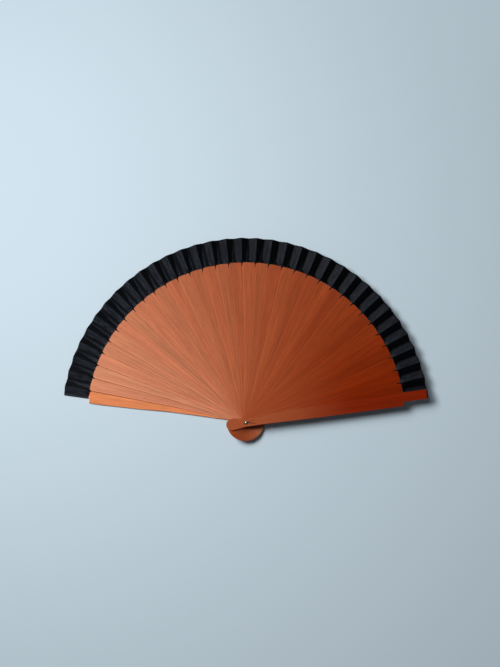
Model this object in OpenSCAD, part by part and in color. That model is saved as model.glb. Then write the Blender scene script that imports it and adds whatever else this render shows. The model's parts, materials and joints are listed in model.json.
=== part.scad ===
// Wooden folding fan, lying open on its back: two guards, thirty-three sticks fanned
// round one rivet, and a narrow pleated cloth leaf along the rim.
// Millimetres. Z is the rivet's axis, z = 0 is the flat back of the rivet's rear cap,
// and the fan opens towards +Y. Each blade is drawn along +X ("along" is the distance
// from the rivet, "across" is positive anticlockwise) and turned to its own angle.

/* [Opening] */
// Angle between the two guards when the fan is fully open
spread = 163.4; // [120:0.1:170]
// Angle of the front guard from +X
first_angle = 7.7; // [0:0.1:20]
// Angle between a guard and the stick next to it
end_gap = 4.42; // [4:0.01:5]
// Number of sticks between the guards
stick_count = 33; // [33:1:33]

/* [Stack] */
// Distance from one stick's layer to the next
layer_pitch = 0.55; // [0.55:0.01:0.7]
// Thickness of a stick at the rivet
head_t = 0.44; // [0.3:0.01:0.44]
// Thickness of a stick's blade
blade_t = 0.42; // [0.3:0.01:0.42]
// Thickness of the rib under the cloth
rib_t = 0.24; // [0.2:0.01:0.26]
// Thickness of a guard
guard_t = 3.0; // [2.9:0.1:4]
// Free gap between a guard and the stick next to it
guard_gap = 0.1; // [0.1:0.05:0.3]

/* [Stick] */
// How far the heads reach past the rivet
head_reach = 22; // [20:0.5:24]
// Radius of a stick's rounded head
head_r = 6.1; // [5.5:0.1:6.5]
// Half width of the narrow part of a stick
neck_half = 2.85; // [2.7:0.05:3.2]
// Distance from the rivet to the shoulders, where the leaf begins
shoulder_r = 181; // [181:0.5:181]
// Width of a shoulder's rounded corners
corner_w = 1.6; // [0.5:0.1:3]
// Length of a shoulder's rounded corners
corner_l = 5; // [2:0.5:8]
// Angle from a stick's axis to its anticlockwise edge
front_edge = 2.0; // [1.8:0.05:2.2]
// Angle from a stick's axis to its clockwise edge
hidden_edge = 3.25; // [3.1:0.05:3.25]
// Lean of the blade at its shoulder
shoulder_lean = 6; // [2:0.5:6]
// Half width of the rib under the cloth
rib_half = 1.25; // [1:0.05:1.3]
// Distance from the rivet to the rib's end
rib_end = 205.5; // [200:0.5:206]

/* [Leaf] */
// Distance from the rivet to the outer edge of the cloth
leaf_r = 208.8; // [207:0.1:210]
// Thickness of the cloth
cloth_t = 0.12; // [0.08:0.01:0.12]
// Slope of the pleats
pleat_lean = 27; // [15:1:27]
// Angle from a stick's axis back to the fold at the bottom of its pleat
valley_back = 0.37; // [0.3:0.01:0.45]

/* [Rivet] */
// Radius of the rivet's pin
pin_r = 1.3; // [1:0.05:1.5]
// Radius of the domed head
dome_r = 2.3; // [2:0.1:3]
// Height of the domed head
dome_h = 1.1; // [0.8:0.1:1.6]
// Radius of the rear cap
cap_r = 3.0; // [2.5:0.1:4]
// Radius of the rear washer
washer_r = 4.0; // [3.5:0.1:4.4]

/* [Hidden] */
// Rivet
pin_play = 0.05;
press_play = 0.01;
cap_t = 0.6;
cap_floor = 0.2;
washer_t = 0.3;
seat_gap = 0.05;
bore_r = pin_r + pin_play;
past_end = 1;

// Stack heights
guard_z = cap_t + washer_t;
last_layer = guard_z + guard_t + guard_gap + head_t / 2;
first_layer = last_layer + (stick_count - 1) * layer_pitch;
front_inner = first_layer + head_t / 2 + guard_gap;
front_outer = front_inner + guard_t;

// Angles
stick_step = (spread - 2 * end_gap) / (stick_count - 1);
panel = stick_step / 2;
ridge_ahead = panel - valley_back;

// Stick outline: where the head, neck and blade meet, and where the twist begins
waist_half = 4.2;
neck_at = 25;
blade_from = 20;
twist_from = 30;
overlap_trim = 0.02;
outline_steps = 10;
corner_steps = 5;
blade_stations = [40, 60, 82, 105, 130, 155];

// Rib: from the shoulder it drops to the slope of its pleat over a short length
rib_root = shoulder_r + 0.05;
drop_from = shoulder_r + 0.6;
drop_to = shoulder_r + 3.6;
drop_steps = 5;

// Leaf
rib_clear = 0.12;
cloth_over_blade = blade_t / 2 + rib_clear + cloth_t / 2;
cloth_over_rib = rib_t / 2 + rib_clear + cloth_t / 2;
end_panel_gap = 0.05;
front_end = -0.25;
back_end = 0.6;

// Guard outline and thickness
guard_head_r = 6.35;
guard_reach = 22.7;
guard_waist = 4.4;
guard_inner_edge = [[17, 4.4], [25, 6.0], [45, 7.6], [100, 7.9], [179.5, 8.0]];
front_outer_edge = [[18, 4.2], [61, 5.1], [91, 5.6], [130, 5.8], [179.5, 6.0]];
back_outer_edge = [[22, 1.6], [45, 1.8], [90, 2.7], [122, 4.8], [150, 6.0], [165, 6.7], [179.5, 6.8]];
guard_shoulder = 179.5;
tip_end = 207.2;
tip_inner = 9.4;
tip_outer = -1.4;
tip_t = 0.68;
relief_from = 25;
relief_at_shoulder = 1.1;

wood = [0.72, 0.42, 0.29];
cloth = [0.09, 0.09, 0.11];
metal = [0.80, 0.77, 0.70];

function stick_name(k) = str("stick_", k < 10 ? "0" : "", k);
function stick_angle(k) = first_angle + end_gap + (k - 1) * stick_step;
function stick_z(k) = last_layer + (stick_count - k) * layer_pitch;
function ease(s) = s * s * (3 - 2 * s);
function share(x, from, to) = min(1, max(0, (x - from) / (to - from)));
function polar(r, a, z) = [r * cos(a), r * sin(a), z];

// ---- Leaf geometry, shared by the ribs and the cloth ----

// Half the height of the pleats at a distance from the rivet
function pleat_rise(r) = r * tan(panel / 2) * tan(pleat_lean);
// Height of the pleat over the stick's axis, below the middle of the pleat
function pleat_dip(r) = -r * tan(ridge_ahead - panel / 2) * tan(pleat_lean);
// How far rib and cloth have gone from the blade's slope (0) to the pleat's slope (1)
function pleat_share(r) = ease(share(r, drop_from, drop_to));

// ---- Sticks ----

// One cross-section: [along, clockwise reach, anticlockwise reach, lean, lift, thickness]
function blade_lean(u) = shoulder_lean * share(u, twist_from, shoulder_r);
function hidden_half(u) = max(neck_half, u * tan(hidden_edge));
function front_half(u) = max(neck_half, u * tan(front_edge));
function blade_section(u, trim) =
    [u, hidden_half(u) - trim, front_half(u) - trim, blade_lean(u), 0, blade_t];
function corner_trim(u) =
    corner_w * (1 - sqrt(max(0, 1 - pow(1 + (u - shoulder_r) / corner_l, 2))));
function rib_section(u) =
    let (s = pleat_share(u))
    [
        u, rib_half, rib_half,
        shoulder_lean + s * (pleat_lean - shoulder_lean),
        s * (pleat_dip(u) - cloth_over_rib),
        blade_t + s * (rib_t - blade_t)
    ];

corner_stations = [for (i = [0 : corner_steps]) shoulder_r - corner_l * cos(90 * i / corner_steps)];
drop_stations = [for (i = [0 : drop_steps]) drop_from + (drop_to - drop_from) * i / drop_steps];
blade_sections = concat(
    [blade_section(blade_from, overlap_trim)],
    [for (u = blade_stations) blade_section(u, 0)],
    [for (u = corner_stations) blade_section(u, corner_trim(u))],
    [rib_section(rib_root)],
    [for (u = drop_stations) rib_section(u)],
    [rib_section((drop_to + rib_end) / 2), rib_section(rib_end)]
);

// The four corners of a cross-section: underside then top, clockwise edge first
function section_corners(s) = [
    for (top = [-1, 1])
        for (v = [-s[1], s[2]])
            [s[0], v, v * tan(s[3]) + s[4] + top * s[5] / 2]
];

// Skin of a solid lofted through four-cornered cross-sections
module loft(sections) {
    last = 4 * (len(sections) - 1);
    ring = [0, 1, 3, 2];
    sides = [
        for (i = [0 : len(sections) - 2])
            for (j = [0 : 3])
                let (a = 4 * i + ring[j], b = 4 * i + ring[(j + 1) % 4])
                each [[a, b + 4, b], [a, a + 4, b + 4]]
    ];
    caps = [[0, 1, 3], [0, 3, 2], [last, last + 3, last + 1], [last, last + 2, last + 3]];
    polyhedron(
        points = [for (s = sections) each section_corners(s)],
        faces = concat(sides, caps)
    );
}

// Upper half of a head's outline: a round end that eases into the waist at the rivet
function head_side(centre, radius, waist) = concat(
    [
        for (i = [0 : outline_steps])
            let (a = 180 - 90 * i / outline_steps)
            [centre + radius * cos(a), radius * sin(a)]
    ],
    [
        for (i = [1 : outline_steps])
            let (s = i / outline_steps)
            [centre * (1 - s), radius + (waist - radius) * ease(s)]
    ]
);

// The same side below the axis, in reverse order, without the point on the axis
function below(side) = [for (i = [len(side) - 1 : -1 : 1]) [side[i][0], -side[i][1]]];

// Flat outline of a stick's head, waist and neck
module stick_outline() {
    neck = [
        for (i = [1 : outline_steps])
            let (s = i / outline_steps)
            [neck_at * s, waist_half + (neck_half - waist_half) * ease(s)]
    ];
    side = concat(head_side(head_r - head_reach, head_r, waist_half), neck);
    polygon(concat(side, below(side)));
}

// One stick along +X, its layer's middle at z = 0
module stick_shape() {
    difference() {
        translate([0, 0, -head_t / 2])
            linear_extrude(head_t)
                stick_outline();
        translate([0, 0, -past_end])
            cylinder(r = bore_r, h = 2 * past_end, $fn = 48);
    }
    loft(blade_sections);
}

module stick(k) {
    color(wood)
        rotate([0, 0, stick_angle(k)])
            translate([0, 0, stick_z(k)])
                stick_shape();
}

// ---- Guards ----

// Outline seen from the front: the inner edge faces the sticks, the tip is stepped
module guard_outline(outer_edge) {
    head = head_side(guard_head_r - guard_reach, guard_head_r, guard_waist);
    tip = [
        [guard_shoulder, tip_inner],
        [tip_end, tip_inner],
        [tip_end, tip_outer],
        [guard_shoulder, tip_outer]
    ];
    polygon(concat(head, guard_inner_edge, tip, below(concat(head, outer_edge))));
}

// Side view: full thickness at the rivet, relieved towards the tip on the inner face
module guard_profile() {
    polygon([
        [-guard_reach - past_end, 0],
        [relief_from, 0],
        [guard_shoulder, relief_at_shoulder],
        [guard_shoulder, guard_t - tip_t],
        [tip_end + past_end, guard_t - tip_t],
        [tip_end + past_end, guard_t],
        [-guard_reach - past_end, guard_t]
    ]);
}

// One guard along +X, its inner face at z = 0 and its outer face above
module guard_shape(outer_edge) {
    difference() {
        intersection() {
            linear_extrude(guard_t)
                guard_outline(outer_edge);
            rotate([90, 0, 0])
                translate([0, 0, -2 * tip_inner])
                    linear_extrude(4 * tip_inner)
                        guard_profile();
        }
        translate([0, 0, -past_end])
            cylinder(r = bore_r, h = guard_t + 2 * past_end, $fn = 48);
    }
}

module front_guard() {
    color(wood)
        rotate([0, 0, first_angle])
            translate([0, 0, front_inner])
                guard_shape(front_outer_edge);
}

// The back guard is turned over about its own length, and its outer edge is hollowed
module back_guard() {
    color(wood)
        rotate([0, 0, first_angle + spread])
            translate([0, 0, guard_z + guard_t])
                rotate([180, 0, 0])
                    guard_shape(back_outer_edge);
}

// ---- Leaf ----

front_panel_z = front_outer - tip_t - end_panel_gap - cloth_t / 2;
back_panel_z = guard_z + tip_t + end_panel_gap + cloth_t / 2;

// The fold lines in order, each as [angle, height, side, angle from the stick's axis]:
// side is 1 on a ridge, -1 in a valley, and 0 where the cloth lies flat against a guard
leaf_lines = concat(
    [[first_angle + front_end, front_panel_z, 0, 0]],
    [[stick_angle(1) - valley_back - panel, front_panel_z, 0, 0]],
    [
        for (k = [1 : stick_count])
            each [
                [stick_angle(k) - valley_back, stick_z(k), -1, -valley_back],
                [stick_angle(k) + ridge_ahead, stick_z(k), 1, ridge_ahead]
            ]
    ],
    [[stick_angle(stick_count) + ridge_ahead + panel, back_panel_z, 0, 0]],
    [[first_angle + spread + back_end, back_panel_z, 0, 0]]
);
leaf_stations = concat(drop_stations, [leaf_r]);
rows = len(leaf_stations);

// Height of the cloth above a fold line's own layer
function line_rise(line, r) =
    let (s = pleat_share(r), over_blade = r * sin(line[3]) * tan(shoulder_lean) + cloth_over_blade)
    line[2] == 0 ? 0 : (1 - s) * over_blade + s * line[2] * pleat_rise(r);

// The points on one fold line: underside then top, inner edge first
function line_points(line) = [
    for (top = [-1, 1])
        for (r = leaf_stations)
            polar(r, line[0], line[1] + line_rise(line, r) + top * cloth_t / 2)
];

module leaf() {
    last = 2 * rows * (len(leaf_lines) - 1);
    // Point numbers once round a fold line's section: out along the underside, back along the top
    ring = concat([for (i = [0 : rows - 1]) i], [for (i = [rows - 1 : -1 : 0]) rows + i]);
    panels = [
        for (i = [0 : len(leaf_lines) - 2])
            for (j = [0 : len(ring) - 1])
                let (a = 2 * rows * i + ring[j], b = 2 * rows * i + ring[(j + 1) % len(ring)])
                // The same diagonal on both faces, so that the cloth's thickness stays even
                each j < rows
                    ? [[a, b, b + 2 * rows], [a, b + 2 * rows, a + 2 * rows]]
                    : [[a, b, a + 2 * rows], [b, b + 2 * rows, a + 2 * rows]]
    ];
    ends = [
        for (i = [0 : rows - 2])
            each [
                [i, i + rows + 1, i + 1],
                [i, i + rows, i + rows + 1],
                [last + i, last + i + 1, last + i + rows + 1],
                [last + i, last + i + rows + 1, last + i + rows]
            ]
    ];
    color(cloth)
        polyhedron(
            points = [for (line = leaf_lines) each line_points(line)],
            faces = concat(panels, ends)
        );
}

// ---- Rivet ----

// Pin with a low domed head above the front guard
module rivet() {
    seat = front_outer + seat_gap;
    ball_r = (pow(dome_r, 2) + pow(dome_h, 2)) / (2 * dome_h);
    color(metal) {
        translate([0, 0, cap_floor])
            cylinder(r = pin_r, h = seat - cap_floor, $fn = 48);
        intersection() {
            translate([0, 0, seat])
                cylinder(r = dome_r + past_end, h = dome_h + past_end, $fn = 48);
            translate([0, 0, seat + dome_h - ball_r])
                sphere(r = ball_r, $fn = 64);
        }
    }
}

module rear_washer() {
    color(metal)
        translate([0, 0, cap_t])
            difference() {
                cylinder(r = washer_r, h = washer_t, $fn = 64);
                translate([0, 0, -past_end])
                    cylinder(r = bore_r, h = 2 * past_end, $fn = 48);
            }
}

// Flat cap pressed on the end of the pin; the fan rests on it
module rear_cap() {
    color(metal)
        difference() {
            cylinder(r = cap_r, h = cap_t, $fn = 64);
            translate([0, 0, cap_floor - press_play])
                cylinder(r = pin_r + press_play, h = cap_t, $fn = 48);
        }
}

front_guard();
for (k = [1 : stick_count])
    stick(k);
back_guard();
leaf();
rivet();
rear_washer();
rear_cap();
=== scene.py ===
"""Looks for the open wooden folding fan: satin wood blades, brass rivet and a pleated black cloth leaf.

Metres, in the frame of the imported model: Z is the rivet's axis and the fan opens towards +Y.
"""
import json
import math

import bpy
import numpy as np
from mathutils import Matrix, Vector


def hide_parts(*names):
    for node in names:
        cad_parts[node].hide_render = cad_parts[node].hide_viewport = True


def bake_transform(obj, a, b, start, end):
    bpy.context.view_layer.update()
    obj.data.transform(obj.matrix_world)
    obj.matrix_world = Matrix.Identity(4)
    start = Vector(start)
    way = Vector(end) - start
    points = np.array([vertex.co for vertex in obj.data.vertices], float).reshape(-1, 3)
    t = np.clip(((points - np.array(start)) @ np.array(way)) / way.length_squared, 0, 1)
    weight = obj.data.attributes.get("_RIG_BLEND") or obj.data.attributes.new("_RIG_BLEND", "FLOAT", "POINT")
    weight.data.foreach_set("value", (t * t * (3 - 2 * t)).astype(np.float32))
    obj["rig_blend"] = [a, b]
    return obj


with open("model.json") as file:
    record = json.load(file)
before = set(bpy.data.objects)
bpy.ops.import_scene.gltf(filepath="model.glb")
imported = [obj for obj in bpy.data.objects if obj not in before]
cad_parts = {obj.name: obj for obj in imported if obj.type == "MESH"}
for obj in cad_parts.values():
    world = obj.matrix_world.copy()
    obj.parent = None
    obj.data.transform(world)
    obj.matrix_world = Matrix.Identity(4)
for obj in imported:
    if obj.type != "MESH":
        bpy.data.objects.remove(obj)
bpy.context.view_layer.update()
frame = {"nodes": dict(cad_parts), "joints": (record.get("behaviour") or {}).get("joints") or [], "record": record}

MM = 0.001
TO_MM = (1000, 1000, 1000)

# The opening, in degrees
FIRST_ANGLE = 7.7  # the front guard, from +X
STICKS = 33
SPREAD = frame["joints"][0]["range_deg"][1]
# How far each stick turns while the front guard turns once through its range
TURN_SHARE = {c["joint"]: c["ratio"] for c in frame["record"]["behaviour"]["couplings"]}

# Layers, slopes and outline of the blades, in millimetres and degrees
LAST_LAYER = 4.22  # height of the stick next to the back guard
LAYER_PITCH = 0.55
SHOULDER_R = 181.0  # from the rivet to the blades' shoulders
BLADE_LEAN = 6.0  # at the shoulders
FRONT_EDGE = 2.0  # from a blade's axis to its upper edge
NECK_HALF = 2.85
CORNER_W = 1.6
CORNER_L = 5.0

# Cloth leaf, in millimetres and degrees
PANEL = 2.415  # from one fold to the next
VALLEY_BACK = 0.37  # from a stick's axis back to the valley beside it
RIDGE_AHEAD = 2.045  # from a stick's axis on to its ridge
PLEAT_LEAN = 27.0
RIB_DROP = 0.30  # how far a rib sinks as it leans over to the pleats' slope
DROP_FROM = 181.6
DROP_TO = 184.6
LEAF_INNER = 181.25
LEAF_OUTER = 208.8
CLOTH_T = 0.09
CLOTH_LIFT = 0.275  # from the middle of a rib to the middle of the cloth on it
FOLD_HALF = 0.16  # half the width of a rounded fold
FALL_SHARE = 0.36  # the part of a free panel that falls steeply from the ridge
FALL_SLOPE = 29.0
LIE_SHARE = 0.42  # the part next to the valley
LIE_LIFT = 0.06
SCALLOP = 0.22  # how far the outer edge stands out at a ridge, and in at a valley
FRONT_PANEL_Z = 24.35  # the cloth on the front guard's tip
BACK_PANEL_Z = 1.69
FRONT_END = -0.25  # the leaf's ends, from the guards' axes
BACK_END = 0.6
FOLD_LENGTH_R = 195.0  # where the leaf's flat length is measured
COLUMN_PLACES = (0, 0.02, 0.05, 0.12, 0.25, 0.36, 0.47, 0.58, 0.75, 0.88, 0.95, 0.98)
DROP_ROWS = 7
OUTER_ROWS = 15

# Dark cloth tabs beside the blades' corners, standing in for the shade in the gaps there, in millimetres
TAB_LENGTH = 5.2
TAB_UNDER = 0.9  # how far a tab goes on under the leaf's edge
TAB_GAP = 0.12
TAB_REACH = 0.85
TAB_STEPS = 9
SHORTER_FROM = 27  # from this stick on the tabs get shorter, down to half
STRIP_PITCH = 16.3  # from one tab's weave to the next one's

# Camera, in metres and degrees
CAMERA_AIM = (0.0047, 0.1003, 0.012)
CAMERA_DISTANCE = 1.054
CAMERA_TILT = 2.8

# Light, backdrop and floor, in metres; EVEN_ANGLE is in radians
LIGHT_TONE = (1.0, 0.98, 0.95)
KEY_PLACE = (-0.38, 0.32, 0.85)
KEY_AIM = (-0.1, 0.1, 0)
KEY_POWER = 5.7
KEY_SIZE = 0.3
EVEN_PLACE = (-0.9, 0.9, 1.6)
EVEN_AIM = (0, 0.1, 0)
EVEN_POWER = 1.1
EVEN_ANGLE = 0.45
FILL_TONE = (0.94, 0.97, 1.0, 1)
FILL_POWER = 0.06
BACKDROP_TONE = (0.56, 0.69, 0.78, 1)
FLOOR_TONE = (0.60, 0.74, 0.85, 1)
FLOOR_HALF = 12.0
FADE_FROM = 0.42  # distances from the rivet between which the floor turns into the backdrop
FADE_TO = 1.1

# Wood: tones from the front of the fan to the back, the wood's own tone with painted shade at the front and
# painted light and sheen at the back, and painted shade and highlight lines along the blades in millimetres
FRONT_TONE_AND_SHADE = (0.232, 0.0175, 0.0006)
BACK_TONE_AND_SHEEN = (0.66, 0.243, 0.134)
# The guards' tones, with painted shade on the front guard and painted light and sheen on the back guard
FRONT_GUARD_TONE_AND_SHADE = (0.235, 0.015, 0.0006)
BACK_GUARD_TONE_AND_SHEEN = (0.86, 0.275, 0.110)
# Painted light: a paler tone near the rivet on the front blades and front guard
PAINTED_HEAD_LIGHT_TONE = (0.41, 0.098, 0.036)  # near the rivet, at the front of the fan
HEAD_LIGHT_FROM = 15
HEAD_LIGHT_TO = 130
# Painted shade: a dark line just inside each blade's upper edge, where the next blade meets it
EDGE_SHADE_LINE = (0.12, 0.6)  # from full to nothing, measured in from the upper edge
# Painted highlight: a paler band beside it, where the upper edge catches light
EDGE_HIGHLIGHT_LINE = (0.9, 1.6)

# Cloth and brass tones
CLOTH_DEEP = (0.0018, 0.0025, 0.0044)
CLOTH_PALE = (0.0160, 0.0188, 0.0250)
CLOTH_SHADE = (0.0004, 0.0006, 0.0011)
# A paler tone along the ridges
CLOTH_RIDGE_PALE = (0.012, 0.0135, 0.017)
# Painted light: the cloth made brighter towards the back guard
CLOTH_PAINTED_LIGHT_GAIN = (2.0, 1.95, 1.9)  # times its own tone, towards the back guard
THREAD_W = 0.36
RIVET_TONE = (0.45, 0.40, 0.29)
REAR_TONE = (0.62, 0.50, 0.30)

# CAD nodes, in degrees and millimetres
SHARP_ANGLE = 25
BEVEL_ANGLE = 30
MERGE_DISTANCE = 0.002


def stick_name(k):
    return f"stick_{k:02d}"


def turn_share(k):
    return TURN_SHARE[f"fold_{k:02d}"]


def stick_angle(k):
    return FIRST_ANGLE + SPREAD * (1 - turn_share(k))


def stick_z(k):
    return LAST_LAYER + (STICKS - k) * LAYER_PITCH


def ease(s):
    return s * s * (3 - 2 * s)


# ---- Camera, floor and light ----


def make_camera():
    """Almost straight down on the fan, from slightly to its left."""
    data = bpy.data.cameras.new("camera")
    data.lens = 50
    data.sensor_width = 36
    camera = bpy.data.objects.new("camera", data)
    tilt = math.radians(CAMERA_TILT)
    away = Vector((-math.sin(tilt), 0, math.cos(tilt)))
    camera.location = Vector(CAMERA_AIM) + CAMERA_DISTANCE * away
    camera.rotation_euler = (0, -tilt, 0)
    bpy.context.scene.collection.objects.link(camera)
    bpy.context.scene.camera = camera


def aimed_light(name, kind, place, aim, power, **settings):
    data = bpy.data.lights.new(name, kind)
    data.energy = power
    data.color = LIGHT_TONE
    for key, value in settings.items():
        setattr(data, key, value)
    light = bpy.data.objects.new(name, data)
    light.location = place
    light.rotation_euler = (Vector(aim) - Vector(place)).to_track_quat("-Z", "Y").to_euler()
    bpy.context.scene.collection.objects.link(light)


def make_light():
    """A soft key light close to the pale side of the fan, and an even one from the same side."""
    aimed_light("key", "AREA", KEY_PLACE, KEY_AIM, KEY_POWER, shape="DISK", size=KEY_SIZE)
    aimed_light("even", "SUN", EVEN_PLACE, EVEN_AIM, EVEN_POWER, angle=EVEN_ANGLE)
    bpy.context.scene.view_settings.view_transform = "Standard"


def make_world():
    """A dim even fill that the camera doesn't see: it sees the pale backdrop instead."""
    world = bpy.data.worlds.new("studio")
    world.use_nodes = True
    tree = world.node_tree
    fill = tree.nodes["Background"]
    set_inputs(fill, {"Color": FILL_TONE, "Strength": FILL_POWER})
    backdrop = put(tree, "Background", {"Color": BACKDROP_TONE, "Strength": 1.0}).outputs[0]
    seen = put(tree, "LightPath").outputs["Is Camera Ray"]
    both = put(tree, "MixShader", {0: seen, 1: fill.outputs[0], 2: backdrop}).outputs[0]
    tree.links.new(both, tree.nodes["World Output"].inputs["Surface"])
    bpy.context.scene.world = world


def make_floor():
    """A pale floor that fades into the backdrop well outside the fan."""
    mesh = bpy.data.meshes.new("floor")
    corners = [(x * FLOOR_HALF, y * FLOOR_HALF, 0) for x, y in ((-1, -1), (1, -1), (1, 1), (-1, 1))]
    mesh.from_pydata(corners, [], [(0, 1, 2, 3)])
    floor = bpy.data.objects.new("floor", mesh)
    material, tree, shader = new_material("floor")
    set_inputs(shader, {"Base Color": FLOOR_TONE, "Roughness": 0.85})
    place = put(tree, "TexCoord").outputs["Object"]
    distance = put(tree, "VectorMath", {0: place}, operation="LENGTH").outputs["Value"]
    backdrop = put(tree, "Emission", {"Color": BACKDROP_TONE}).outputs[0]
    far = between(tree, distance, FADE_FROM, FADE_TO)
    both = put(tree, "MixShader", {0: far, 1: shader.outputs[0], 2: backdrop}).outputs[0]
    tree.links.new(both, tree.nodes["Material Output"].inputs["Surface"])
    mesh.materials.append(material)
    bpy.context.scene.collection.objects.link(floor)


# ---- Shader nodes ----


def new_material(name):
    material = bpy.data.materials.new(name)
    material.use_nodes = True
    tree = material.node_tree
    return material, tree, tree.nodes["Principled BSDF"]


def set_inputs(node, values):
    for socket, value in values.items():
        node.inputs[socket].default_value = value


def put(tree, kind, inputs=(), **settings):
    """A shader node; inputs maps socket names or numbers to a value or to another node's output."""
    node = tree.nodes.new("ShaderNode" + kind)
    for key, value in settings.items():
        setattr(node, key, value)
    for key, value in dict(inputs).items():
        if isinstance(value, bpy.types.NodeSocket):
            tree.links.new(value, node.inputs[key])
        else:
            node.inputs[key].default_value = value
    return node


def math_of(tree, operation, *values):
    return put(tree, "Math", enumerate(values), operation=operation).outputs[0]


def stretch(tree, vector, scale, shift=(0, 0, 0)):
    inputs = {"Vector": vector, "Scale": scale, "Location": shift}
    return put(tree, "Mapping", inputs).outputs[0]


def noise(tree, vector, detail=3.0, roughness=0.5, distortion=0.0):
    inputs = {
        "Vector": vector,
        "Scale": 1.0,
        "Detail": detail,
        "Roughness": roughness,
        "Distortion": distortion,
    }
    return put(tree, "TexNoise", inputs).outputs["Fac"]


def between(tree, value, low, high, out_low=0.0, out_high=1.0):
    """value taken from low...high to out_low...out_high, and kept within them."""
    inputs = {0: value, 1: low, 2: high, 3: out_low, 4: out_high}
    return put(tree, "MapRange", inputs, interpolation_type="SMOOTHSTEP").outputs[0]


def ramp(tree, value, stops):
    node = put(tree, "ValToRGB", {"Fac": value})
    elements = node.color_ramp.elements
    while len(elements) < len(stops):
        elements.new(0.5)
    for element, (place, colour) in zip(elements, stops):
        element.position = place
        element.color = (*colour, 1)
    return node.outputs["Color"]


def times(tone, factor):
    return tuple(factor * c for c in tone)


def mixed(tree, share, first, second, blend="MIX"):
    node = put(tree, "Mix", data_type="RGBA", blend_type=blend)
    for socket, value in ((node.inputs[0], share), (node.inputs[6], first), (node.inputs[7], second)):
        if isinstance(value, bpy.types.NodeSocket):
            tree.links.new(value, socket)
        elif socket.type == "RGBA":
            socket.default_value = (*value, 1)
        else:
            socket.default_value = value
    return node.outputs[2]


# ---- Materials ----


def blade_place(tree, angle):
    """Millimetres along and across a blade that lies at angle, whatever way the blade points."""
    place = put(tree, "TexCoord").outputs["Object"]
    inputs = {"Vector": place, "Angle": -math.radians(angle)}
    turned = put(tree, "VectorRotate", inputs, rotation_type="Z_AXIS").outputs[0]
    return stretch(tree, turned, TO_MM)


def edge_line(tree, place, line):
    """1 along the blade's upper edge, from line[0] millimetres in from it down to 0 at line[1]."""
    along, across, _ = put(tree, "SeparateXYZ", {0: place}).outputs
    half = math_of(tree, "MULTIPLY", along, math.tan(math.radians(FRONT_EDGE)))
    half = math_of(tree, "MAXIMUM", half, NECK_HALF)
    gap = math_of(tree, "SUBTRACT", half, across)
    beside = between(tree, gap, *line, 1.0, 0.0)
    return math_of(tree, "MULTIPLY", beside, between(tree, along, 24, 40))


def wood_maps(tree, place, number):
    """Slow clouds, figure, fine fibres and short pores, all along the blade. number tells the slats
    apart."""
    shift = (17.3 * number, 5.1 * number, 2.7 * number)
    clouds = noise(tree, stretch(tree, place, (0.022, 0.11, 0.11), shift), 2.0)
    figure = noise(tree, stretch(tree, place, (0.013, 0.55, 0.55), shift), 4.0, 0.6, 0.5)
    fibres = noise(tree, stretch(tree, place, (0.055, 2.4, 2.4), shift), 3.0, 0.65)
    pores = noise(tree, stretch(tree, place, (0.16, 4.2, 4.2), shift), 2.0, 0.5)
    return clouds, figure, fibres, between(tree, pores, 0.60, 0.72)


def wood_colour(tree, place, maps, tone, edge_shade, painted_head_light):
    """The next to last argument is how dark the painted shade line along the upper edge is, beside a paler painted
    highlight band; the last is how far the wood turns paler near the rivet, as painted light."""
    clouds, figure, fibres, pore = maps
    dark = times(tone, 0.72)
    deep = tuple(c * f for c, f in zip(tone, (0.35, 0.30, 0.30)))
    grain = math_of(tree, "MULTIPLY_ADD", fibres, 0.5, math_of(tree, "MULTIPLY", figure, 0.5))
    stops = [(0, dark), (0.5, tone), (1, times(tone, 1.25))]
    colour = ramp(tree, between(tree, grain, 0.3, 0.7), stops)
    colour = mixed(tree, between(tree, clouds, 0.35, 0.65, 0.0, 0.3), colour, dark)
    # Painted light: paler towards the rivet
    if painted_head_light:
        along = put(tree, "SeparateXYZ", {0: place}).outputs[0]
        share = between(tree, along, HEAD_LIGHT_FROM, HEAD_LIGHT_TO, painted_head_light, 0.0)
        colour = mixed(tree, share, colour, PAINTED_HEAD_LIGHT_TONE)
    colour = mixed(tree, math_of(tree, "MULTIPLY", pore, 0.5), colour, deep)
    # Painted highlight and painted shade along the upper edge
    if edge_shade:
        wear_and_highlight = math_of(tree, "MULTIPLY", edge_line(tree, place, EDGE_HIGHLIGHT_LINE), 0.4)
        colour = mixed(tree, wear_and_highlight, colour, times(tone, 1.7))
        edge_shade_share = math_of(tree, "MULTIPLY", edge_line(tree, place, EDGE_SHADE_LINE), edge_shade)
        colour = mixed(tree, edge_shade_share, colour, deep)
    return colour


def wood(name, angle, number, tone, gloss, edge_shade=0.0, painted_head_light=0.0):
    """Satin fruitwood on a slat that lies at angle."""
    material, tree, shader = new_material(name)
    place = blade_place(tree, angle)
    maps = wood_maps(tree, place, number)
    _, _, fibres, pore = maps
    colour = wood_colour(tree, place, maps, tone, edge_shade, painted_head_light)
    tree.links.new(colour, shader.inputs["Base Color"])
    rough = math_of(tree, "MULTIPLY_ADD", fibres, 0.22, gloss - 0.11)
    rough = math_of(tree, "MULTIPLY_ADD", pore, 0.15, rough)
    tree.links.new(rough, shader.inputs["Roughness"])
    height = math_of(tree, "MULTIPLY_ADD", pore, -0.8, fibres)
    bump = put(tree, "Bump", {"Height": height, "Strength": 0.35, "Distance": 0.00006})
    tree.links.new(bump.outputs[0], shader.inputs["Normal"])
    set_inputs(
        shader,
        {
            "Specular IOR Level": 0.24,
            "Specular Tint": (1.0, 0.66, 0.38, 1),
            "Coat Weight": 0.05,
            "Coat Roughness": 0.36,
        },
    )
    return material


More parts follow.
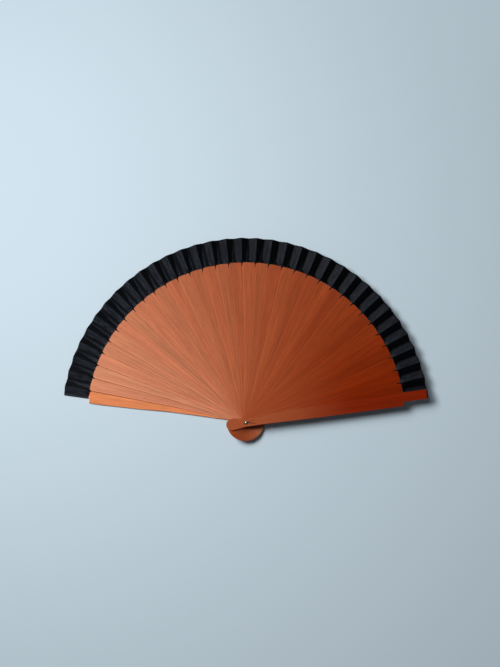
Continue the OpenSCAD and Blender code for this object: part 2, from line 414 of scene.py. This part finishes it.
def stick_tone_and_light(k):
    """The blades go from a deep red brown at the front guard to a paler one at the back, each a little different
    from its neighbours: the wood's own tone, with painted shade towards the front and painted light and sheen
    towards the back."""
    s = (k - 1) / (STICKS - 1)
    light = 1 + 0.06 * math.sin(4.1 * k + 1.0)
    warm = 1 + 0.05 * math.sin(2.4 * k)
    return tuple(
        light * w * ((1 - s) * math.sqrt(front) + s * math.sqrt(back)) ** 2
        for front, back, w in zip(FRONT_TONE_AND_SHADE, BACK_TONE_AND_SHEEN, (1, warm, warm))
    )


def weave(tree, place):
    """Height of the threads: waves across waves, a little uneven."""
    waver = noise(tree, stretch(tree, place, (0.15, 0.15, 1)), 2.0)
    threads = []
    for axis in list(put(tree, "SeparateXYZ", {0: place}).outputs)[:2]:
        across = math_of(tree, "MULTIPLY_ADD", waver, 0.8, axis)
        threads.append(math_of(tree, "SINE", math_of(tree, "MULTIPLY", across, math.pi / THREAD_W)))
    return math_of(tree, "MULTIPLY", *threads)


def panel_shade(tree, place):
    """Shade on the glued panels: a wedge on the left of the fan, the whole panel on the right."""
    along, out, _ = put(tree, "SeparateXYZ", {0: place}).outputs
    shade = put(tree, "Attribute", attribute_name="glued").outputs["Fac"]
    shade = math_of(tree, "ADD", shade, between(tree, out, 183, 208, 0.40, 0.78))
    shade = math_of(tree, "ADD", shade, between(tree, along, 60, 400, 0.75, 0.0))
    uneven = noise(tree, stretch(tree, place, (0.07, 0.02, 1)), 1.0)
    shade = math_of(tree, "MULTIPLY_ADD", uneven, 0.7, shade)
    return between(tree, shade, 1.28, 1.42, 0.0, 0.93)


def cloth_colour(tree, place, creases, slubs):
    """Worn in streaks, made brighter towards the back guard as painted light, with painted shade in the valleys
    and pale on the ridges.
    """
    wear_and_highlight = math_of(tree, "MULTIPLY_ADD", creases, 0.6, math_of(tree, "MULTIPLY", slubs, 0.4))
    colour = ramp(tree, between(tree, wear_and_highlight, 0.3, 0.7), [(0.0, CLOTH_DEEP), (1.0, CLOTH_PALE)])
    along = put(tree, "SeparateXYZ", {0: place}).outputs[0]
    # Painted light: brighter towards the back guard
    colour = mixed(tree, between(tree, along, 300, 480), colour, CLOTH_PAINTED_LIGHT_GAIN, "MULTIPLY")
    colour = mixed(tree, panel_shade(tree, place), colour, CLOTH_SHADE)
    fold = put(tree, "Attribute", attribute_name="fold").outputs["Fac"]
    # Painted shade in the valleys
    colour = mixed(tree, between(tree, fold, -0.95, -0.30, 0.9, 0.0), colour, CLOTH_SHADE)
    # Paler along the ridges
    return mixed(tree, between(tree, fold, 0.90, 0.99, 0.0, 0.4), colour, CLOTH_RIDGE_PALE)


def cloth():
    """Black plain-woven cotton."""
    material, tree, shader = new_material("leaf_cloth_woven")
    place = stretch(tree, put(tree, "UVMap", uv_map="strip").outputs[0], TO_MM)
    creases = noise(tree, stretch(tree, place, (0.42, 0.08, 1)), 3.0, 0.55, 0.6)
    slubs = noise(tree, stretch(tree, place, (2.2, 0.35, 1)), 2.0)
    colour = cloth_colour(tree, place, creases, slubs)
    tree.links.new(colour, shader.inputs["Base Color"])
    tree.links.new(between(tree, slubs, 0.3, 0.7, 0.42, 0.56), shader.inputs["Roughness"])
    folds = put(tree, "Bump", {"Height": creases, "Strength": 0.55, "Distance": 0.0008}).outputs[0]
    yarn = {"Height": weave(tree, place), "Strength": 0.25, "Distance": 0.00006, "Normal": folds}
    tree.links.new(put(tree, "Bump", yarn).outputs[0], shader.inputs["Normal"])
    set_inputs(
        shader,
        {
            "Specular IOR Level": 0.10,
            "Specular Tint": (0.80, 0.88, 1.0, 1),
            "Sheen Weight": 0.02,
            "Sheen Roughness": 0.35,
            "Sheen Tint": (0.75, 0.83, 1.0, 1),
        },
    )
    return material


def brass(name, colour):
    """Polished brass with fine turning marks and faint tarnish."""
    material, tree, shader = new_material(name)
    place = stretch(tree, put(tree, "TexCoord").outputs["Object"], TO_MM)
    tarnish = noise(tree, stretch(tree, place, (1.4, 1.4, 1.4)), 4.0, 0.6)
    flat = put(tree, "VectorMath", {0: place, 1: (1, 1, 0)}, operation="MULTIPLY").outputs[0]
    radius = put(tree, "VectorMath", {0: flat}, operation="LENGTH").outputs["Value"]
    rings = math_of(tree, "SINE", math_of(tree, "MULTIPLY", radius, 60))
    shade = mixed(tree, between(tree, tarnish, 0.5, 0.75, 0.0, 0.7), colour, times(colour, 0.55))
    tree.links.new(shade, shader.inputs["Base Color"])
    tree.links.new(between(tree, tarnish, 0.35, 0.7, 0.16, 0.38), shader.inputs["Roughness"])
    bump = put(tree, "Bump", {"Height": rings, "Strength": 0.15, "Distance": 0.00001})
    tree.links.new(bump.outputs[0], shader.inputs["Normal"])
    shader.inputs["Metallic"].default_value = 1.0
    return material


# ---- CAD nodes ----


def clean_normals():
    """Geometry nodes: joined facets shade smoothly, and edges past SHARP_ANGLE stay crisp."""
    group = bpy.data.node_groups.new("clean_normals", "GeometryNodeTree")
    group.interface.new_socket("Geometry", in_out="INPUT", socket_type="NodeSocketGeometry")
    group.interface.new_socket("Geometry", in_out="OUTPUT", socket_type="NodeSocketGeometry")
    nodes, links = group.nodes, group.links
    merge = nodes.new("GeometryNodeMergeByDistance")
    merge.inputs["Distance"].default_value = MERGE_DISTANCE * MM
    drop = nodes.new("GeometryNodeRemoveAttribute")
    drop.inputs["Name"].default_value = "custom_normal"
    smooth = nodes.new("GeometryNodeSetShadeSmooth")
    crisp = nodes.new("GeometryNodeSetShadeSmooth")
    crisp.domain = "EDGE"
    crisp.inputs["Shade Smooth"].default_value = False
    angle = nodes.new("GeometryNodeInputMeshEdgeAngle")
    sharp = nodes.new("FunctionNodeCompare")
    sharp.inputs["B"].default_value = math.radians(SHARP_ANGLE)
    links.new(angle.outputs["Unsigned Angle"], sharp.inputs["A"])
    links.new(sharp.outputs[0], crisp.inputs["Selection"])
    chain = [nodes.new("NodeGroupInput"), merge, drop, smooth, crisp, nodes.new("NodeGroupOutput")]
    for first, second in zip(chain, chain[1:]):
        links.new(first.outputs[0], second.inputs[0])
    return group


def dress(node_name, material, group, bevel=0.0):
    node = frame["nodes"][node_name]
    node.data.materials.clear()
    node.data.materials.append(material)
    node.modifiers.new("clean_normals", "NODES").node_group = group
    if bevel:
        edge = node.modifiers.new("soft_edges", "BEVEL")
        edge.width = bevel * MM
        edge.segments = 2
        edge.limit_method = "ANGLE"
        edge.angle_limit = math.radians(BEVEL_ANGLE)
        edge.use_clamp_overlap = False
        edge.harden_normals = True


def dress_sticks(group):
    for k in range(1, STICKS + 1):
        name, along_fan = stick_name(k), k / STICKS
        # Painted shade along the upper edges, stronger towards the back
        edge_shade = 0.45 + 0.4 * along_fan
        # Painted light near the rivet, on the front blades only
        painted_head_light = 0.7 * max(0, 1 - 1.3 * along_fan)
        blade = wood(f"wood_{name}", stick_angle(k), k, stick_tone_and_light(k), 0.41, edge_shade, painted_head_light)
        dress(name, blade, group)


def dress_guards(group):
    # The front guard is made paler towards the rivet as painted light
    front = wood("wood_front_guard", FIRST_ANGLE, 41, FRONT_GUARD_TONE_AND_SHADE, 0.42, painted_head_light=0.85)
    back = wood("wood_back_guard", FIRST_ANGLE + SPREAD, 47, BACK_GUARD_TONE_AND_SHEEN, 0.42)
    dress("front_guard", front, group, bevel=0.3)
    dress("back_guard", back, group, bevel=0.3)


def dress_metal(group):
    dress("rivet", brass("brass_rivet", RIVET_TONE), group)
    dress("rear_washer", brass("brass_washer", REAR_TONE), group, bevel=0.06)
    dress("rear_cap", brass("brass_cap", REAR_TONE), group, bevel=0.08)


# ---- Cloth leaf ----


def pleat_share(r):
    """How far the ribs have gone from the blades' slope (0) to the pleats' slope (1)."""
    return ease(min(1, max(0, (r - DROP_FROM) / (DROP_TO - DROP_FROM))))


def on_rib(k, degrees, r):
    """Height of the cloth glued on stick k's rib, at an angle from the stick's axis."""
    share = pleat_share(r)
    slope = math.tan(math.radians(BLADE_LEAN + share * (PLEAT_LEAN - BLADE_LEAN)))
    dip = r * math.tan(math.radians(RIDGE_AHEAD - PANEL / 2)) * math.tan(math.radians(PLEAT_LEAN))
    lift = -share * (dip + RIB_DROP)
    return stick_z(k) + r * math.sin(math.radians(degrees)) * slope + lift + CLOTH_LIFT


def fold_lines():
    """The folds from the front guard to the back guard: angle, side and share of the fan's turn.
    Side is 1 on a ridge, -1 in a valley and 0 where the cloth lies flat on a guard."""
    first, last = stick_angle(1), stick_angle(STICKS)
    lines = [(FIRST_ANGLE + FRONT_END, 0, 1.0), (first - VALLEY_BACK - PANEL, 0, 1.0)]
    for k in range(1, STICKS + 1):
        lines.append((stick_angle(k) - VALLEY_BACK, -1, turn_share(k)))
        lines.append((stick_angle(k) + RIDGE_AHEAD, 1, turn_share(k)))
    lines.append((last + RIDGE_AHEAD + PANEL, 0, 0.0))
    lines.append((FIRST_ANGLE + SPREAD + BACK_END, 0, 0.0))
    return np.array(lines)


def free_panel(k, r):
    """Two bends between stick k's ridge and the next valley: the cloth falls steeply from the ridge,
    then lies along the slope it takes when the fan is shut."""
    ridge = on_rib(k, RIDGE_AHEAD, r)
    steep = FALL_SHARE * PANEL
    low = math.radians(steep) * r * math.tan(math.radians(FALL_SLOPE))
    easy = (1 - LIE_SHARE) * PANEL
    lie = on_rib(k + 1, RIDGE_AHEAD - easy, r) + LIE_LIFT * pleat_share(r)
    start = stick_angle(k) + RIDGE_AHEAD
    return [(start + steep, ridge - low), (start + easy, lie)]


def section(r):
    """The leaf's cross-section at the distance r: angles and heights of its bends."""
    first, last = stick_angle(1), stick_angle(STICKS)
    bends = [
        (FIRST_ANGLE + FRONT_END, FRONT_PANEL_Z),
        (first - VALLEY_BACK - PANEL, FRONT_PANEL_Z),
    ]
    for k in range(1, STICKS + 1):
        for degrees in (-VALLEY_BACK, RIDGE_AHEAD):
            bends.append((stick_angle(k) + degrees, on_rib(k, degrees, r)))
        if k < STICKS:
            bends += free_panel(k, r)
    bends.append((last + RIDGE_AHEAD + PANEL, BACK_PANEL_Z))
    bends.append((FIRST_ANGLE + SPREAD + BACK_END, BACK_PANEL_Z))
    return np.array(bends)


def cloth_height(angles, r):
    """Height of the cloth at the distance r, its folds slightly rounded."""
    bends = section(r)
    half = math.degrees(FOLD_HALF / r)
    around = np.linspace(-half, half, 7)
    return np.mean([np.interp(angles + d, bends[:, 0], bends[:, 1]) for d in around], axis=0)


def leaf_columns(lines):
    """Angles of the mesh's columns, closest near the folds, and their places in the list of folds."""
    places = [i + t for i in range(len(lines) - 1) for t in COLUMN_PLACES]
    places.append(len(lines) - 1)
    return np.array(places), np.interp(places, range(len(lines)), lines[:, 0])


def leaf_rows():
    """Distances of the mesh's rows from the rivet."""
    drop = np.linspace(DROP_FROM, DROP_TO, DROP_ROWS)
    rest = np.linspace(DROP_TO, LEAF_OUTER, OUTER_ROWS + 1)[1:]
    return np.concatenate([[LEAF_INNER], drop, rest])


def polar(r, angles, height):
    a = np.radians(angles)
    return np.stack([r * np.cos(a), r * np.sin(a), height], axis=-1)


def pleats(lines):
    """The pleated strip as a grid: its points, their places on the flat strip, their turn shares,
    how near they are to a ridge (1) or a valley (-1), and how far up a glued panel they are."""
    places, angles = leaf_columns(lines)
    rows = leaf_rows()
    scallop = SCALLOP * np.interp(angles, lines[:, 0], lines[:, 1])
    flat = cloth_height(angles, FOLD_LENGTH_R)
    steps = np.hypot(np.diff(np.radians(angles)) * FOLD_LENGTH_R, np.diff(flat))
    run = np.concatenate([[0], np.cumsum(steps)])
    points, strip = [], []
    for r in rows:
        out = (r - LEAF_INNER) / (LEAF_OUTER - LEAF_INNER)
        points.append(polar(r + out**3 * scallop, angles, cloth_height(angles, r)))
        strip.append(np.stack([run, np.full_like(run, r)], axis=-1))
    turn, fold = (np.interp(places, range(len(lines)), lines[:, c]) for c in (2, 1))
    glued = np.where((places >= 2) & (places <= 2 * STICKS + 1) & (places % 2 <= 1), places % 2, -1)
    each = (len(rows), 1)
    return np.array(points), np.array(strip), *(np.tile(row, each) for row in (turn, fold, glued))


def shade_tab(k):
    """A dark cloth tab beside the rounded corner of blade k: a dark sheet standing in for the shade in the gap at
    the corner.
    """
    length = TAB_LENGTH * (1 - 0.5 * max(0, k - SHORTER_FROM) / (STICKS - SHORTER_FROM))
    steps = np.linspace(0, 1, TAB_STEPS)
    along = SHOULDER_R + TAB_UNDER - (length + TAB_UNDER) * steps
    half = along * math.tan(math.radians(FRONT_EDGE))
    corner = np.clip((along - SHOULDER_R) / CORNER_L + 1, 0, 1)
    inner = half - CORNER_W * (1 - np.sqrt(1 - corner**2)) + TAB_GAP
    outer = half + TAB_REACH * np.sqrt(1 - 0.98 * steps**3)
    fall = np.interp(along - SHOULDER_R, [-length, -1.0, TAB_UNDER], [-0.45, -0.15, 0.7])
    points, strip = [], []
    for s in (0, 0.5, 1):
        across = inner + s * (outer - inner)
        r = np.hypot(along, across)
        angle = stick_angle(k) + np.degrees(np.arctan2(across, along))
        points.append(polar(r, angle, stick_z(k) + fall - 0.12 * math.sin(math.pi * s)))
        strip.append(np.stack([across + STRIP_PITCH * k, along], axis=-1))
    shape = (3, len(along))
    flat = np.zeros(shape)
    return np.array(points), np.array(strip), np.full(shape, turn_share(k)), flat, flat


def joined(grids):
    """One mesh from grids of (points, places on the strip, turn shares, folds, glued panels)."""
    faces, start = [], 0
    for grid in grids:
        rows, columns = grid[2].shape
        for j in range(rows - 1):
            for i in range(columns - 1):
                a = start + j * columns + i
                faces.append((a, a + 1, a + columns + 1, a + columns))
        start += rows * columns
    points = np.concatenate([grid[0].reshape(-1, 3) for grid in grids]) * MM
    strip = np.concatenate([grid[1].reshape(-1, 2) for grid in grids]) * MM
    turn, fold, glued = (np.concatenate([grid[c].ravel() for grid in grids]) for c in (2, 3, 4))
    mesh = bpy.data.meshes.new("pleated_leaf")
    mesh.from_pydata(points.tolist(), [], faces)
    corners = np.empty(len(mesh.loops), dtype=np.int32)
    mesh.loops.foreach_get("vertex_index", corners)
    mesh.uv_layers.new(name="strip").data.foreach_set("uv", strip[corners].ravel())
    for name, values in (("fold", fold), ("glued", glued)):
        mesh.attributes.new(name, "FLOAT", "POINT").data.foreach_set("value", values)
    mesh.polygons.foreach_set("use_smooth", [True] * len(mesh.polygons))
    return mesh, turn


def make_leaf(material):
    strip = pleats(fold_lines())
    mesh, turn = joined([strip] + [shade_tab(k) for k in range(1, STICKS + 1)])
    mesh.materials.append(material)
    leaf = bpy.data.objects.new("pleated_leaf", mesh)
    bpy.context.scene.collection.objects.link(leaf)
    thick = leaf.modifiers.new("cloth_thickness", "SOLIDIFY")
    thick.thickness = CLOTH_T * MM
    thick.offset = 0
    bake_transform(leaf, "base", "front_guard", start=(-0.2, 0, 0), end=(0.2, 0, 0))
    # Each point turns with its own stick, so the pleats stay glued to the ribs while the fan shuts
    mesh.attributes["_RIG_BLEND"].data.foreach_set("value", turn)
    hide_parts("leaf")


make_camera()
make_light()
make_world()
make_floor()
clean = clean_normals()
dress_sticks(clean)
dress_guards(clean)
dress_metal(clean)
make_leaf(cloth())
